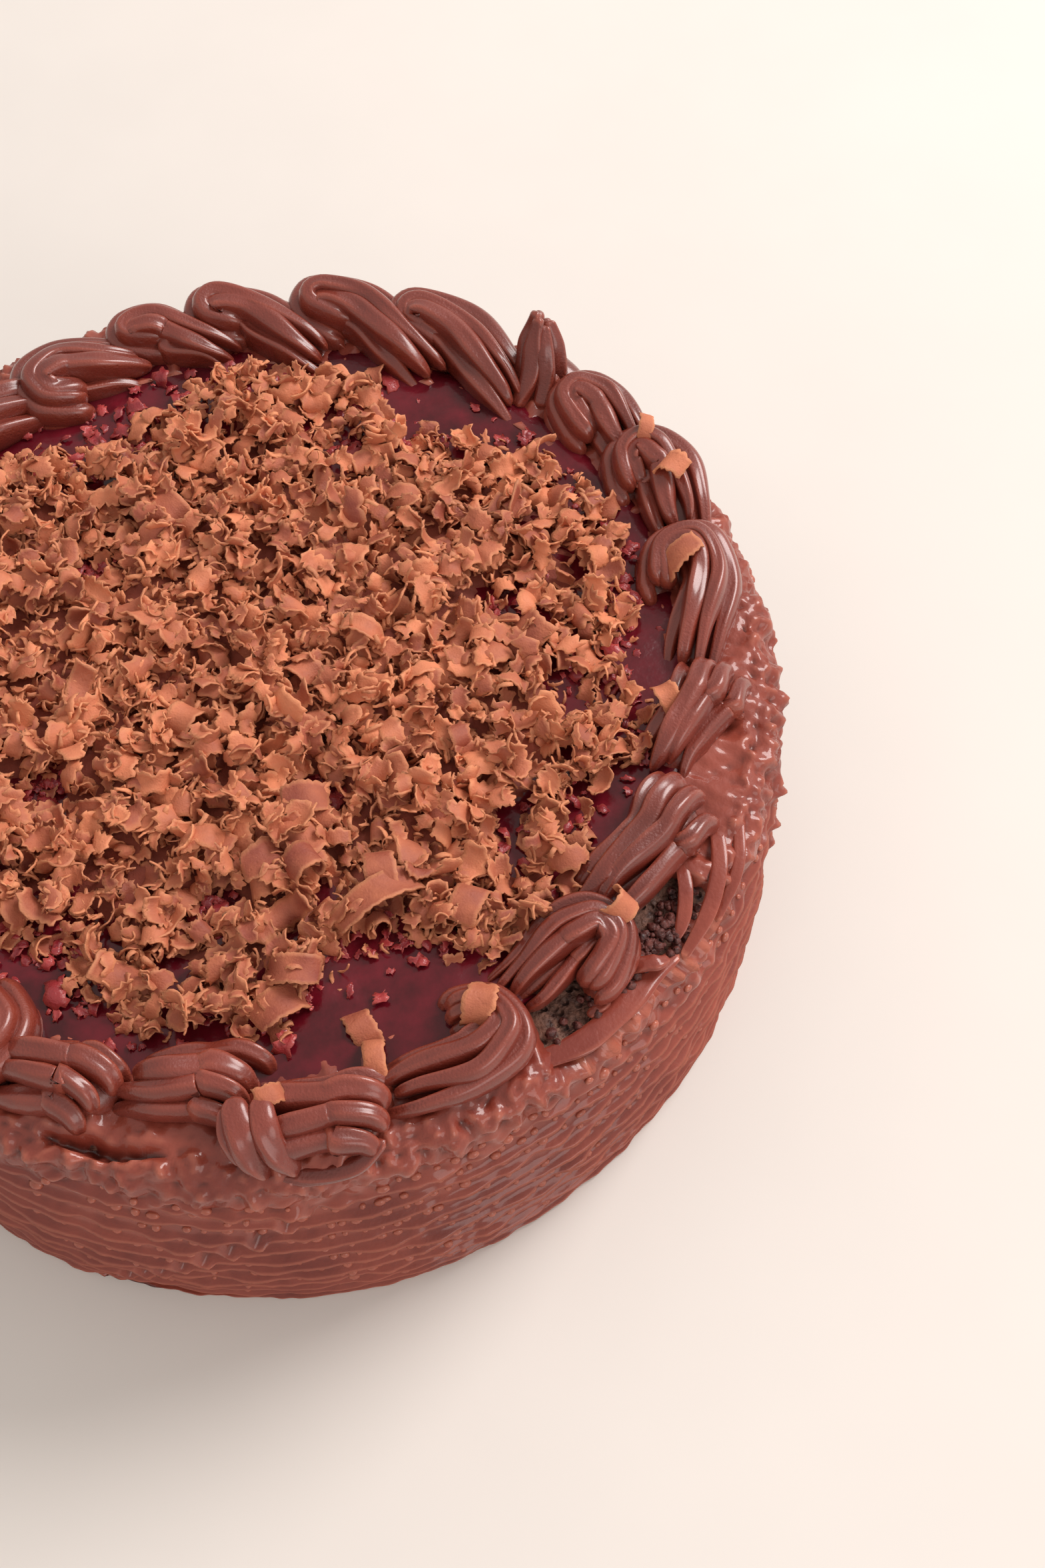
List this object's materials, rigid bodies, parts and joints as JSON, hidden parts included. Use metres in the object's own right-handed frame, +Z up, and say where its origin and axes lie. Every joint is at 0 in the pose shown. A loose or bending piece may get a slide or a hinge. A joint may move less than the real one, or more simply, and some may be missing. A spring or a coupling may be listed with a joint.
{
  "type": "chocolate cake",
  "caption": "Round chocolate cake with combed icing, a piped ridged border, cherry jam and a heap of chocolate shavings on top.",
  "frame": {"origin": "middle of the whole cake's width and depth, on the surface it stands on", "axes": "+Z up; -Y towards the front, where the torn shoulder is; angles run anticlockwise from +X"},
  "size_m": [0.222, 0.222, 0.0849],
  "materials": {
    "sponge": "crumbly",
    "icing": "satin",
    "piping": "glossy",
    "jam": "glossy",
    "shavings": "matt"
  },
  "bodies": {
    "root": {"sponge": "sponge", "icing": "icing", "jam": "jam", "swirl_01": "piping", "swirl_02": "piping", "swirl_03": "piping", "swirl_04": "piping", "swirl_05": "piping", "swirl_06": "piping", "swirl_07": "piping", "swirl_08": "piping", "swirl_09": "piping", "swirl_10": "piping", "swirl_11": "piping", "swirl_12": "piping", "swirl_13": "piping", "swirl_14": "piping", "swirl_15": "piping", "swirl_16": "piping", "swirl_17": "piping", "swirl_18": "piping", "swirl_19": "piping", "swirl_20": "piping", "swirl_21": "piping", "swirl_22": "piping", "swirl_23": "piping", "swirl_24": "piping", "shavings": "shavings"}
  },
  "joints": []
}
